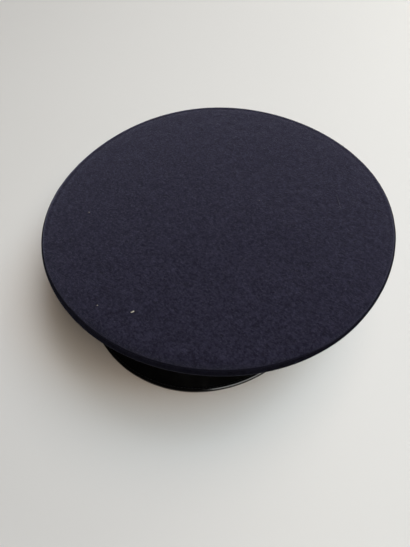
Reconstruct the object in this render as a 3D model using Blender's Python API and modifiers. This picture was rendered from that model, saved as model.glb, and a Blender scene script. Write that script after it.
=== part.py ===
"""Peaked cloth cap with a wide, flat oval crown, lying by itself on a level surface.

The cap rests on the rim of its peak and on the lower rear edge of its band, so the whole cap leans
back a little. All the pieces are drawn in the cap's own frame, with the lower edge of the band at
height zero, the middle of the band at the origin and the peak towards -Y, and one empty then
carries that lean. Bearings are counted from the front of the cap, through its left side at +X.
"""

import bpy
import bmesh
from math import atan2, cos, hypot, pi, radians, sin
from mathutils import Euler, Matrix, Vector

# Fineness of the curved surfaces
BEARINGS = 72
PEAK_COLUMNS = 54
WELT_ROUNDNESS = 2

SHARP_EDGE = radians(40)
WELD_DISTANCE = 0.000001

# Clear gap between pieces that are sewn together
SEAM_GAP = 0.0003

# Head opening and band, for a head of 57 cm
BAND_HALF_WIDTH = 0.0860
BAND_HALF_LENGTH = 0.1030
BAND_HEIGHT = 0.0380
BAND_THICKNESS = 0.0040
BAND_EDGE_ROUNDING = 0.0008

# Crown, measured over its welt
CROWN_HALF_WIDTH = 0.1390
CROWN_HALF_LENGTH = 0.1434
CROWN_HEIGHT = 0.0615
CROWN_FORWARD = 0.0092
CROWN_RISE_TO_FRONT = radians(2.7)
CROWN_RISE_TO_LEFT = radians(2.3)
CROWN_CLOTH = 0.0020

# Slow waves of the crown's outline, as shares of its radius
CROWN_WAVES = (
    # waves round the crown, cosine share, sine share
    (3, 0.000, -0.003),
    (4, -0.007, -0.001),
)

# Section of the crown's cloth from its seam to its middle
CROWN_SECTION = (
    # distance in from the crown's outline, height above the welt's middle
    (0.0035, 0.0002),
    (0.0038, 0.0015),
    (0.0050, 0.0025),
    (0.0085, 0.0032),
    (0.0200, 0.0038),
    (0.0500, 0.0045),
    (0.0950, 0.0050),
    (CROWN_HALF_WIDTH, 0.0052),
)

# Self-coloured welt round the crown's seam
WELT_RADIUS = 0.0016

# Side panels between the band and the crown
PANEL_CLOTH = 0.0020
PANEL_FOOT = 0.0016
PANEL_TURN_UP = 0.0026
PANEL_TOP_INSET = 0.0010
PANEL_FULLNESS = 0.0030
PANEL_ROWS = 5
PANEL_COLUMNS = BEARINGS // 4
PANELS = (
    # name, bearing of the panel's middle in degrees
    ("side_panel_front", 0),
    ("side_panel_left", 90),
    ("side_panel_back", 180),
    ("side_panel_right", 270),
)

# Peak, from its middle to the corner where it meets the band
PEAK_THICKNESS = 0.0018
PEAK_ARCH = 1.12
RIM_STEP = 0.005
PEAK_ROWS = 4
PEAK_SHAPE = (
    # share of the rim, bearing in degrees, reach beyond the band, drop below the band's edge
    (0.00, 0.0, 0.0386, 0.0185),
    (0.25, 22.0, 0.0377, 0.0163),
    (0.50, 43.0, 0.0348, 0.0106),
    (0.70, 58.0, 0.0307, 0.0054),
    (0.84, 68.0, 0.0250, 0.0022),
    (0.94, 74.5, 0.0140, 0.0010),
    (1.00, 77.0, 0.0000, 0.0006),
)

# Binding folded over the peak's rim
BINDING_WALL = 0.0007
BINDING_GAP = 0.0003
BINDING_DEPTH = 0.0034
BINDING_COLUMNS = PEAK_COLUMNS - 4

# How the cap lies
REST_FLATTENING = 0.0005
FLOOR_CUTTER_SIZE = 0.30
SHIFT_TO_ORIGIN = Vector((-0.0004, 0.0037, 0.0))

# Looks of the pieces
LOOKS = {
    # name: colour, roughness, weight of the clear coat
    "navy_felt": ((0.022, 0.021, 0.036, 1.0), 0.95, 0.0),
    "navy_cloth": ((0.020, 0.019, 0.033, 1.0), 0.92, 0.0),
    "black_gloss": ((0.004, 0.004, 0.004, 1.0), 0.12, 1.0),
}


def material(name):
    """Plain material of one colour, from the table of looks."""
    colour, roughness, coat = LOOKS[name]
    made = bpy.data.materials.new(name)
    made.use_nodes = True
    shader = made.node_tree.nodes["Principled BSDF"]
    shader.inputs["Base Color"].default_value = colour
    shader.inputs["Roughness"].default_value = roughness
    shader.inputs["Metallic"].default_value = 0.0
    shader.inputs["Coat Weight"].default_value = coat
    made.diffuse_color = colour
    return made


def read_table(table, at, column):
    """Value of a column at a place along a table's first column, on a smooth curve."""
    places = [row[0] for row in table]
    values = [row[column] for row in table]
    at = min(max(at, places[0]), places[-1])
    k = 0
    while k < len(places) - 2 and at > places[k + 1]:
        k += 1
    step = places[k + 1] - places[k]
    share = (at - places[k]) / step

    def slope(i):
        if i == 0:
            return 0.0
        j = min(i + 1, len(places) - 1)
        return (values[j] - values[i - 1]) / (places[j] - places[i - 1])

    start = values[k] * (1 + 2 * share) * (1 - share) ** 2
    leave = slope(k) * step * share * (1 - share) ** 2
    end = values[k + 1] * (3 - 2 * share) * share ** 2
    arrive = slope(k + 1) * step * share ** 2 * (share - 1)
    return start + leave + end + arrive


def band_point(bearing, outwards, height):
    """Point beside the band, a given way outwards from its outer face."""
    x = BAND_HALF_WIDTH * sin(bearing)
    y = -BAND_HALF_LENGTH * cos(bearing)
    normal = Vector((x / BAND_HALF_WIDTH ** 2, y / BAND_HALF_LENGTH ** 2, 0.0)).normalized()
    return Vector((x, y, height)) + outwards * normal


def crown_point(bearing, inset, height):
    """Point of the crown, a given way in from its outline, in the cap's frame."""
    share = 1.0 - inset / CROWN_HALF_WIDTH
    for waves, cosine_share, sine_share in CROWN_WAVES:
        share *= 1.0 + cosine_share * cos(waves * bearing) + sine_share * sin(waves * bearing)
    x = CROWN_HALF_WIDTH * share * sin(bearing)
    y = -CROWN_HALF_LENGTH * share * cos(bearing)
    return CROWN_FRAME @ Vector((x, y, height))


def peak_bearing(along):
    """Bearing at a place along the peak, from its right corner (-1) to its left corner (1)."""
    return radians(read_table(PEAK_SHAPE, abs(along), 1)) * (1 if along > 0 else -1)


def peak_point(along, across):
    """Point on the peak's upper face, from the band (0) to the rim (1)."""
    reach = read_table(PEAK_SHAPE, abs(along), 2)
    drop = read_table(PEAK_SHAPE, abs(along), 3)
    height = -SEAM_GAP - (drop - SEAM_GAP) * across ** PEAK_ARCH
    return band_point(peak_bearing(along), reach * across, height)


def rim_frame(along):
    """Middle of the peak's edge, with the ways out of and square to the peak there."""
    rim = peak_point(along, 1.0)
    line = (peak_point(along + RIM_STEP, 1.0) - peak_point(along - RIM_STEP, 1.0)).normalized()
    out = rim - peak_point(along, 0.9)
    out = (out - out.dot(line) * line).normalized()
    square = out.cross(line).normalized()
    return rim - square * PEAK_THICKNESS / 2, out, square


def binding_ring(along):
    """Points of the binding's section at a place along the rim, folded over the peak's edge."""
    inner = PEAK_THICKNESS / 2 + BINDING_GAP
    outer = inner + BINDING_WALL
    nose = BINDING_GAP + BINDING_WALL
    hem = 0.4 * BINDING_WALL - BINDING_DEPTH
    section = (
        # way out from the peak's edge, way up from its middle
        (-BINDING_DEPTH, inner),
        (BINDING_GAP, inner),
        (BINDING_GAP, -inner),
        (-BINDING_DEPTH, -inner),
        (hem, -outer),
        (-0.2 * nose, -outer),
        (0.7 * nose, -0.72 * outer),
        (nose, 0.0),
        (0.7 * nose, 0.72 * outer),
        (-0.2 * nose, outer),
        (hem, outer),
    )
    middle, out, square = rim_frame(along)
    return [middle + out * way_out + square * way_up for way_out, way_up in section]


def bent_sheet(columns, rows, place):
    """Sheet of quads made from a flat grid; place gives a point from the two shares."""
    mesh = bmesh.new()
    bmesh.ops.create_grid(mesh, x_segments=columns, y_segments=rows, size=0.5)
    for vertex in mesh.verts:
        vertex.co = place(vertex.co.x + 0.5, vertex.co.y + 0.5)
    bmesh.ops.remove_doubles(mesh, verts=mesh.verts[:], dist=WELD_DISTANCE)
    return mesh


def add_object(name, data, collection, look, parent):
    """Object in the cap's collection, carried by the cap's empty."""
    made = bpy.data.objects.new(name, data)
    made.data.materials.append(look)
    made.parent = parent
    collection.objects.link(made)
    return made


def add_mesh(name, mesh, collection, look, parent):
    """Smooth mesh object from a finished bmesh."""
    data = bpy.data.meshes.new(name)
    mesh.to_mesh(data)
    mesh.free()
    data.shade_smooth()
    data.set_sharp_from_angle(angle=SHARP_EDGE)
    return add_object(name, data, collection, look, parent)


def thicken(item, thickness):
    """Give an open sheet its thickness, inwards from the face it was drawn as."""
    wall = item.modifiers.new("Thickness", "SOLIDIFY")
    wall.thickness = thickness
    wall.offset = -1.0
    wall.use_even_offset = True


def make_crown_top(collection, look, parent):
    """Flat oval of cloth, rolled down to the seam at its edge."""
    last = len(CROWN_SECTION) - 1

    def place(around, across):
        inset, height = CROWN_SECTION[round(across * last)]
        return crown_point(around * 2 * pi, inset, height)

    top = add_mesh("crown_top", bent_sheet(BEARINGS, last, place), collection, look, parent)
    thicken(top, CROWN_CLOTH)
    return top


def make_crown_piping(collection, look, parent):
    """Round welt that follows the crown's outline."""
    curve = bpy.data.curves.new("crown_piping", "CURVE")
    curve.dimensions = "3D"
    curve.bevel_depth = WELT_RADIUS
    curve.bevel_resolution = WELT_ROUNDNESS
    loop = curve.splines.new("POLY")
    loop.points.add(BEARINGS - 1)
    for k in range(BEARINGS):
        spot = crown_point(k * 2 * pi / BEARINGS, WELT_RADIUS, 0.0)
        loop.points[k].co = (*spot, 1.0)
    loop.use_cyclic_u = True
    return add_object("crown_piping", curve, collection, look, parent)


def make_side_panel(name, middle, collection, look, parent):
    """Quarter of the flared side, from the band's upper edge to under the welt."""
    seam_turn = SEAM_GAP / BAND_HALF_WIDTH
    first = radians(middle - 45) + seam_turn
    last = radians(middle + 45) - seam_turn
    rows = PANEL_ROWS + 2
    top_height = -WELT_RADIUS - SEAM_GAP

    def place(around, across):
        bearing = first + (last - first) * around
        row = round(across * rows)
        foot = band_point(bearing, 0.0, BAND_HEIGHT + SEAM_GAP)
        top = crown_point(bearing, PANEL_TOP_INSET, top_height)
        if row == 0:
            return foot
        if row == rows:
            return top
        low = foot + Vector((0.0, 0.0, PANEL_FOOT))
        high = crown_point(bearing, PANEL_TOP_INSET, top_height - PANEL_TURN_UP)
        share = (row - 1) / PANEL_ROWS
        out = high - low
        flat = hypot(out.x, out.y)
        down = Vector((out.x / flat * out.z, out.y / flat * out.z, -flat)).normalized()
        return low.lerp(high, share) + down * PANEL_FULLNESS * 4 * share * (1 - share)

    panel = add_mesh(name, bent_sheet(PANEL_COLUMNS, rows, place), collection, look, parent)
    thicken(panel, PANEL_CLOTH)
    return panel


def make_cap_band(collection, look, parent):
    """Upright band round the head, open above and below."""

    def place(around, across):
        return band_point(around * 2 * pi, 0.0, across * BAND_HEIGHT)

    band = add_mesh("cap_band", bent_sheet(BEARINGS, 1, place), collection, look, parent)
    thicken(band, BAND_THICKNESS)
    rounding = band.modifiers.new("Rounded edges", "BEVEL")
    rounding.width = BAND_EDGE_ROUNDING
    rounding.segments = 1
    rounding.limit_method = "ANGLE"
    rounding.angle_limit = SHARP_EDGE
    return band


def make_peak(collection, look, parent):
    """Glossy peak, with its root tucked under the band's lower edge."""
    rows = PEAK_ROWS + 1

    def place(around, across):
        along = 2 * around - 1
        row = rows - round(across * rows)
        if row == 0:
            return band_point(peak_bearing(along), SEAM_GAP - BAND_THICKNESS, -SEAM_GAP)
        return peak_point(along, (row - 1) / PEAK_ROWS)

    peak = add_mesh("peak", bent_sheet(PEAK_COLUMNS, rows, place), collection, look, parent)
    thicken(peak, PEAK_THICKNESS)
    return peak


def make_peak_binding(collection, look, parent):
    """Glossy binding folded over the peak's rim from corner to corner."""
    sides = len(binding_ring(0.0))
    end = BINDING_COLUMNS / PEAK_COLUMNS

    def place(around, across):
        return binding_ring(end * (2 * around - 1))[round(across * sides) % sides]

    mesh = bent_sheet(BINDING_COLUMNS, sides, place)
    ends = [edge for edge in mesh.edges if edge.is_boundary]
    bmesh.ops.holes_fill(mesh, edges=ends, sides=0)
    bmesh.ops.recalc_face_normals(mesh, faces=mesh.faces[:])
    return add_mesh("peak_binding", mesh, collection, look, parent)


def flatten_on_floor(item, collection):
    """Press the band's lower rear edge flat where it lies on the surface."""
    mesh = bmesh.new()
    bmesh.ops.create_cube(mesh, size=FLOOR_CUTTER_SIZE)
    data = bpy.data.meshes.new("floor_cutter")
    mesh.to_mesh(data)
    mesh.free()
    cutter = bpy.data.objects.new("floor_cutter", data)
    cutter.location = (0.0, BAND_HALF_LENGTH, -FLOOR_CUTTER_SIZE / 2)
    cutter.display_type = "WIRE"
    cutter.hide_render = True
    collection.objects.link(cutter)
    cut = item.modifiers.new("Flattened", "BOOLEAN")
    cut.operation = "DIFFERENCE"
    cut.object = cutter


def resting_lean():
    """Lean that brings the bound rim and the band's flattened rear edge to one level."""
    heel = Vector((0.0, BAND_HALF_LENGTH, REST_FLATTENING))
    return max(atan2(heel.z - spot.z, heel.y - spot.y) for spot in binding_ring(0.0))


def build():
    """Make the whole cap."""
    for item in list(bpy.data.objects):
        bpy.data.objects.remove(item, do_unlink=True)

    pieces = bpy.data.collections.new("kepi_cap")
    cutters = bpy.data.collections.new("cutters")
    bpy.context.scene.collection.children.link(pieces)
    bpy.context.scene.collection.children.link(cutters)

    felt = material("navy_felt")
    cloth = material("navy_cloth")
    gloss = material("black_gloss")

    lean = resting_lean()
    heel_drop = BAND_HALF_LENGTH * sin(lean) - REST_FLATTENING * cos(lean)
    rest = bpy.data.objects.new("cap_rest", None)
    rest.rotation_euler = (-lean, 0.0, 0.0)
    rest.location = SHIFT_TO_ORIGIN + Vector((0.0, 0.0, heel_drop))
    pieces.objects.link(rest)

    make_crown_top(pieces, felt, rest)
    make_crown_piping(pieces, felt, rest)
    for name, middle in PANELS:
        make_side_panel(name, middle, pieces, cloth, rest)
    band = make_cap_band(pieces, cloth, rest)
    make_peak(pieces, gloss, rest)
    make_peak_binding(pieces, gloss, rest)
    flatten_on_floor(band, cutters)


# Frame of the crown within the cap: moved forwards, raised, and tilted up to the front and left
CROWN_FRAME = Matrix.Translation((0.0, -CROWN_FORWARD, CROWN_HEIGHT)) @ Euler(
    (-CROWN_RISE_TO_FRONT, -CROWN_RISE_TO_LEFT, 0.0)
).to_matrix().to_4x4()

build()
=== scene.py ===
"""Looks of a peaked cloth cap with a wide, flat oval crown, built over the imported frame.

The cap lies by itself on a pale surface, on the rim of its peak and the lower rear edge of its
band. Its pieces are drawn in the cap's own frame, with the lower edge of the band at height zero,
the middle of the band at the origin and the peak towards -Y. CAP_AT_REST then lays them down as
the frame's nodes lie. Bearings are counted from the front of the cap, through its left side at +X.
"""

from math import cos, hypot, pi, radians, sin

import bmesh
import bpy
from bpy.props import FloatProperty, FloatVectorProperty, PointerProperty
from bpy.types import Operator, Panel, PropertyGroup
from mathutils import Euler, Matrix, Vector, noise


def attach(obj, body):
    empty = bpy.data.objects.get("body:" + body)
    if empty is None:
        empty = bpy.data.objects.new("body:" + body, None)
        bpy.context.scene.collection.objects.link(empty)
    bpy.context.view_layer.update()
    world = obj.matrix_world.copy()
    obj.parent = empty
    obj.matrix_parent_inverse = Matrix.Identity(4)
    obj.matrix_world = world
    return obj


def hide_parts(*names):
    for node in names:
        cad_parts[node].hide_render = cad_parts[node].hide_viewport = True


bl_info = {
    "name": "Peaked Cap",
    "version": (1, 0, 0),
    "blender": (4, 5, 0),
    "location": "View3D > Sidebar > Peaked Cap",
    "description": "Finishes a peaked cloth cap over its packed frame",
    "category": "Object",
}

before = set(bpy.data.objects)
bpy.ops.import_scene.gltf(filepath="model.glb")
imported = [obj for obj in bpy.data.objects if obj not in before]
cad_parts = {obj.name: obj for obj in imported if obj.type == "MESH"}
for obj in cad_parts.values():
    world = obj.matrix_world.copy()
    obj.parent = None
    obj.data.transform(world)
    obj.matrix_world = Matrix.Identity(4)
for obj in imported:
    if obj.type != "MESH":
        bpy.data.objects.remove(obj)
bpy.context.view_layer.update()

# Lengths are in metres

# Clear gap between pieces that are sewn together
SEAM_GAP = 0.0003

# Head opening and band
BAND_HALF_WIDTH = 0.0860
BAND_HALF_LENGTH = 0.1030
BAND_HEIGHT = 0.0380
BAND_THICKNESS = 0.0040
BAND_ROUND_OFF = 0.0012
BAND_BELLY = 0.0003

# The cloth's own join at the back of the band stands out a little
BAND_JOIN = 0.0004
BAND_JOIN_HALF_ANGLE = 0.014

# Crown, measured over its welt
CROWN_HALF_WIDTH = 0.1390
CROWN_HALF_LENGTH = 0.1434
CROWN_HEIGHT = 0.0615
CROWN_FORWARD = 0.0092
CROWN_RISE_TO_FRONT = radians(2.7)
CROWN_RISE_TO_LEFT = radians(2.3)
WELT_RADIUS = 0.0016

# Slow waves of the crown's outline, as shares of its radius
CROWN_WAVES = (
    # waves round the crown, cosine share, sine share
    (3, 0.000, -0.003),
    (4, -0.007, -0.001),
)

# Section of the crown's cloth, from its middle to its seam
CROWN_SECTION = (
    # share of the rings, distance in from the crown's outline, height above the welt's middle
    (0.00, CROWN_HALF_WIDTH, 0.0052),
    (0.28, 0.0950, 0.0050),
    (0.56, 0.0500, 0.0045),
    (0.76, 0.0200, 0.0038),
    (0.87, 0.0085, 0.0032),
    (0.93, 0.0050, 0.0024),
    (0.97, 0.0038, 0.0013),
    (1.00, 0.0035, 0.0001),
)

# How far the crown's cloth laps over the welt and rises over it, from a share of the rings outwards
LAP = 0.0024
LAP_RISE = 0.0011
LAP_START = 0.90

# Stretch of the crown's seam where the cloth laps over the welt least
WELT_OPEN_AT = radians(20)
WELT_OPEN = radians(70)
WELT_OPEN_BLEND = radians(16)
LEAST_LAP = 0.5

# How far the crown's edge rolls down and is tucked in, and where: middle bearing and half angle
DROOP = 0.0034
DROOP_PLACE = (radians(24), radians(78))
TUCK = 0.0021
TUCK_PLACE = (radians(35), radians(44))

# Distances in from the crown's outline between which its edge rolls down
ROLL_START = 0.0030
ROLL_END = 0.0105

# Painted shade on the crown's cloth: how strongly it darkens the rolled edge, and the lip all round
ROLL_PAINTED_SHADE = 1.25
LIP_PAINTED_SHADE = 0.50

# Share of painted shade from which a face takes the shaded copy of the wool, with a tenth of the sheen and
# half the relief
PAINTED_SHADE_FROM = 0.40

# Part of the crown that handling has creased
CREASES_AT = radians(170)

# Where something fades out: the value up to which it is full, and the one where it has gone
ROLL_PAINTED_SHADE_FADE = (0.0020, 0.0056)
LIP_PAINTED_SHADE_FADE = (0.0036, 0.0042)
CREASES_FADE_ROUND = (radians(40), radians(100))
CREASES_FADE_INWARDS = (0.085, 0.115)
PANEL_SEAM_FADE = (0.0, 0.030)

# Distances in from the crown's outline between which the cloth gets its slack
SLACK_START = (0.0, 0.012)

# Unevenness of soft shapes
CROWN_SLACK = (0.050, 0.00045, 1.0)  # width of its waves, their height, seed
CROWN_RIPPLE = (0.016, 0.00015, 4.0)
CROWN_CREASES = (0.0065, 0.00026, 9.0)
WELT_UNEVEN = (0.006, 0.05, 7.0)  # height as a share of the welt's radius
PANEL_TUCKS = (0.11, 0.0009, 11.0)  # width in radians round the band
PANEL_SLACK = (0.045, 0.0012, 13.0)
BAND_UNEVEN = (0.024, 0.00025, 17.0)

# Side panels between the band and the crown
PANEL_THINNER = 0.0004
PANEL_FOOT = 0.0016
PANEL_TURN_UP = 0.0026
PANEL_TOP_INSET = 0.0010
PANEL_FULLNESS = 0.0030
PANEL_SEAM_DIP = 0.0010
TUCK_STRETCH = 0.6
PANELS = (
    # name, CAD node, bearing of the panel's middle in degrees
    ("side_cloth_front", "side_panel_front", 0),
    ("side_cloth_left", "side_panel_left", 90),
    ("side_cloth_back", "side_panel_back", 180),
    ("side_cloth_right", "side_panel_right", 270),
)

# Peak, from its middle to the corner where it meets the band
PEAK_THICKNESS = 0.0018
PEAK_ARCH = 1.12
RIM_STEP = 0.005
PEAK_SHAPE = (
    # share of the rim, bearing in degrees, reach beyond the band, drop below the band's edge
    (0.00, 0.0, 0.0386, 0.0185),
    (0.25, 22.0, 0.0377, 0.0163),
    (0.50, 43.0, 0.0348, 0.0106),
    (0.70, 58.0, 0.0307, 0.0054),
    (0.84, 68.0, 0.0250, 0.0022),
    (0.94, 74.5, 0.0140, 0.0010),
    (1.00, 77.0, 0.0000, 0.0006),
)

# Binding over the peak's rim, with the gaps that it keeps from the peak
BINDING_WALL = 0.0007
BINDING_GAP = 0.0003
BINDING_FACE_GAP = 0.00006
BINDING_RIM_GAP = 0.00004
BINDING_DEPTH = 0.0034
BINDING_FOLD = -0.0010
BINDING_END = 50 / 54
HEM_SLOPE = 0.00005
HEM_LENGTH = 0.0004
HEM_DROP = 0.0003

# Stitches of the binding: distance in from its hem, half width and half height
STITCH_INSET = 0.0009
STITCH_HALF_SIZE = (0.00016, 0.00019)
STITCH_STEPS = 2000

# Loose hairs: how they taper and arch, and how many stand on the side panels
STRAND_TAPER = 0.7
STRAND_BOW = 0.10
STRAND_ARCH = 0.35
SIDE_NAP_SHARE = 0.6

# Least and most turn of a hair about its axes, and least and most of its size along them
STRAND_TURN = ((-0.4, -0.42, 0.0), (0.4, -0.06, 2 * pi))
STRAND_SIZE = ((0.45, -1.6, 0.6), (1.5, 1.6, 1.5))

# Bits of lint that lie on the crown
LINT_SPECKS = (
    # bearing in degrees, share of the crown's radius, length and width, turn in degrees
    (4.7, 0.809, 0.0031, 0.0011, 58),
    (-6.5, 0.883, 0.0010, 0.0007, 60),
    (-51.3, 0.745, 0.0010, 0.0007, 10),
    (137.2, 0.232, 0.0005, 0.0004, 80),
)
LINT_FIBRES = (
    # bearing in degrees, share of the crown's radius, length, turn and curl in degrees
    (-147.4, 0.861, 0.011, 35, 200),
    (128.6, 0.690, 0.017, 129, 4),
)
SPECK_ROUGHNESS = 0.2
SPECK_GRAIN = 0.0007
FIBRE_RADIUS = 0.00009
FIBRE_LIFT = 0.0004

# Dark and pale colours of lint and thread, and the noise and range of the patches of lint
CREAM_LINT = ((0.24, 0.22, 0.18), (0.60, 0.57, 0.50))
GREY_LINT = ((0.09, 0.09, 0.12), (0.17, 0.17, 0.22))
THREAD = ((0.003, 0.003, 0.004), (0.012, 0.012, 0.013))
LINT_PATCHES = ((1800.0, 2.0, 0.6), (0.3, 0.7))

# How the cap lies
CAP_LEAN = radians(5.027)
CAP_LIFT = 0.00853
CAP_SHIFT = (-0.0004, 0.0037)

CROWN_FRAME = Matrix.Translation((0.0, -CROWN_FORWARD, CROWN_HEIGHT)) @ Euler(
    (-CROWN_RISE_TO_FRONT, -CROWN_RISE_TO_LEFT, 0.0)
).to_matrix().to_4x4()
CAP_AT_REST = Matrix.Translation((*CAP_SHIFT, CAP_LIFT)) @ Matrix.Rotation(-CAP_LEAN, 4, "X")

# Fineness of the finished surfaces
CROWN_RINGS = 76
WELT_COLUMNS = 540
WELT_SIDES = 12
PANEL_COLUMNS = 48
PANEL_ROWS = 9
BAND_COLUMNS = 216
PEAK_COLUMNS = 162
PEAK_ROWS = 9
BINDING_COLUMNS = 240
FIBRE_COLUMNS = 24
FIBRE_SIDES = 6
FLOOR_SEGMENTS = 128
WELD_DISTANCE = 0.000002

# Soft lights on the right of the picture, and one that only the gloss on the peak shows
LIGHTS = (
    # name, degrees round from the picture's right and up, share, colour, lights cloth, shows in gloss
    ("low_window", 45, 22, 0.50, (1.00, 0.93, 0.79), True, True),
    ("far_panel", 45, 62, 0.55, (1.00, 0.83, 0.76), True, True),
    ("right_panel", 0, 62, 1.00, (0.62, 0.85, 1.00), True, True),
    ("near_panel", -45, 62, 0.85, (1.00, 0.83, 0.67), True, False),
    ("rim_glint", -79, 42, 0.85, (1.00, 1.00, 0.96), False, True),
)

# Light from all round, and the darker room that gloss shows
ROOM_COLOUR = (1.0, 0.86, 0.70, 1.0)
GLOSS_ROOM_COLOUR = (0.9, 0.95, 1.0, 1.0)
GLOSS_ROOM_STRENGTH = 0.012

# The floor glows with the backdrop's colour from this share of its radius to its rim
GLOW_START = 0.35
GLOW_AT_RIM = 0.75


def read_table(table, at, column):
    """Value of a column at a place along a table's first column, on a smooth curve."""
    places = [row[0] for row in table]
    values = [row[column] for row in table]
    at = min(max(at, places[0]), places[-1])
    k = 0
    while k < len(places) - 2 and at > places[k + 1]:
        k += 1
    step = places[k + 1] - places[k]
    share = (at - places[k]) / step

    def slope(i):
        if i == 0:
            return 0.0
        j = min(i + 1, len(places) - 1)
        return (values[j] - values[i - 1]) / (places[j] - places[i - 1])

    start = values[k] * (1 + 2 * share) * (1 - share) ** 2
    leave = slope(k) * step * share * (1 - share) ** 2
    end = values[k + 1] * (3 - 2 * share) * share ** 2
    arrive = slope(k + 1) * step * share ** 2 * (share - 1)
    return start + leave + end + arrive


def smooth_step(low, high, value):
    """Share from 0 at low to 1 at high, with soft ends."""
    share = min(max((value - low) / (high - low), 0.0), 1.0)
    return share * share * (3 - 2 * share)


def fade_out(full, gone, value):
    """Share from 1 at full to 0 at gone, with soft ends."""
    return 1.0 - smooth_step(full, gone, value)


def bearing_apart(bearing, other):
    """Angle between two bearings, from 0 to pi."""
    return abs((bearing - other + pi) % (2 * pi) - pi)


def unevenness(place, width, height, seed):
    """Soft rise or dip at a place, in waves of about that width and height."""
    shifted = Vector(place) / width + Vector((seed, 2.3 * seed, -1.7 * seed))
    return height * noise.noise(shifted)


def section_point(section, across):
    """Point of a closed section at a share of the way round it."""
    return section[round(across * len(section)) % len(section)]


def band_point(bearing, outwards, height):
    """Point beside the band, a given way outwards from its outer face."""
    x = BAND_HALF_WIDTH * sin(bearing)
    y = -BAND_HALF_LENGTH * cos(bearing)
    normal = Vector((x / BAND_HALF_WIDTH ** 2, y / BAND_HALF_LENGTH ** 2, 0.0)).normalized()
    return Vector((x, y, height)) + outwards * normal


def crown_point(bearing, inset, height):
    """Point of the crown, a given way in from its outline, in the cap's frame."""
    share = 1.0 - inset / CROWN_HALF_WIDTH
    for waves, cosine_share, sine_share in CROWN_WAVES:
        share *= 1.0 + cosine_share * cos(waves * bearing) + sine_share * sin(waves * bearing)
    x = CROWN_HALF_WIDTH * share * sin(bearing)
    y = -CROWN_HALF_LENGTH * share * cos(bearing)
    return CROWN_FRAME @ Vector((x, y, height))


def peak_bearing(along):
    """Bearing at a place along the peak, from its right corner (-1) to its left corner (1)."""
    return radians(read_table(PEAK_SHAPE, abs(along), 1)) * (1 if along > 0 else -1)


def peak_point(along, across):
    """Point on the peak's upper face, from the band (0) to the rim (1)."""
    reach = read_table(PEAK_SHAPE, abs(along), 2)
    drop = read_table(PEAK_SHAPE, abs(along), 3)
    height = -SEAM_GAP - (drop - SEAM_GAP) * across ** PEAK_ARCH
    return band_point(peak_bearing(along), reach * across, height)


def rim_frame(along):
    """Middle of the peak's edge, with the ways along, out of and square to the peak there."""
    rim = peak_point(along, 1.0)
    line = (peak_point(along + RIM_STEP, 1.0) - peak_point(along - RIM_STEP, 1.0)).normalized()
    out = rim - peak_point(along, 0.9)
    out = (out - out.dot(line) * line).normalized()
    square = out.cross(line).normalized()
    return rim - square * PEAK_THICKNESS / 2, line, out, square


def bent_sheet(columns, rows, place):
    """Sheet of quads made from a flat grid; place gives a point from the two shares."""
    mesh = bmesh.new()
    bmesh.ops.create_grid(mesh, x_segments=columns, y_segments=rows, size=0.5)
    for vertex in mesh.verts:
        vertex.co = place(vertex.co.x + 0.5, vertex.co.y + 0.5)
    bmesh.ops.remove_doubles(mesh, verts=mesh.verts[:], dist=WELD_DISTANCE)
    return mesh


def bent_tube(columns, sides, place):
    """Sheet bent until its long edges meet, with its open ends filled and its faces outwards."""
    mesh = bent_sheet(columns, sides, place)
    ends = [edge for edge in mesh.edges if edge.is_boundary]
    bmesh.ops.holes_fill(mesh, edges=ends, sides=0)
    bmesh.ops.recalc_face_normals(mesh, faces=mesh.faces[:])
    return mesh


def mesh_data(name, mesh):
    """Mesh data made from a bmesh, which is done with after that."""
    data = bpy.data.meshes.new(name)
    mesh.to_mesh(data)
    mesh.free()
    return data


def take_in(mesh, data):
    """Add mesh data to a bmesh and remove it."""
    mesh.from_mesh(data)
    bpy.data.meshes.remove(data)


def add_object(name, data):
    """New object of the scene with some data."""
    item = bpy.data.objects.new(name, data)
    bpy.context.scene.collection.objects.link(item)
    return item


def finish_piece(name, mesh, look, slot, *nodes):
    """Lay a finished bmesh down as the cap lies and hand it to the frame as a piece."""
    missing = [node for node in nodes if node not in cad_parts]
    if missing:
        raise RuntimeError(f"the frame has no node named {', '.join(missing)}")
    bmesh.ops.transform(mesh, matrix=CAP_AT_REST, verts=mesh.verts[:])
    data = mesh_data(name, mesh)
    data.shade_smooth()
    data.materials.append(look)
    piece = add_object(name, data)
    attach(piece, "root")
    if nodes:
        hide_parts(*nodes)
    return piece


def subdivide(piece):
    """Round a piece off with a subdivision surface."""
    finer = piece.modifiers.new("Subdivision", "SUBSURF")
    finer.levels = 1
    finer.render_levels = 1


def thicken(piece, thickness):
    """Give an open sheet its thickness, inwards from the face it was drawn as."""
    wall = piece.modifiers.new("Thickness", "SOLIDIFY")
    wall.thickness = thickness
    wall.offset = -1.0
    wall.use_even_offset = True


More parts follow.
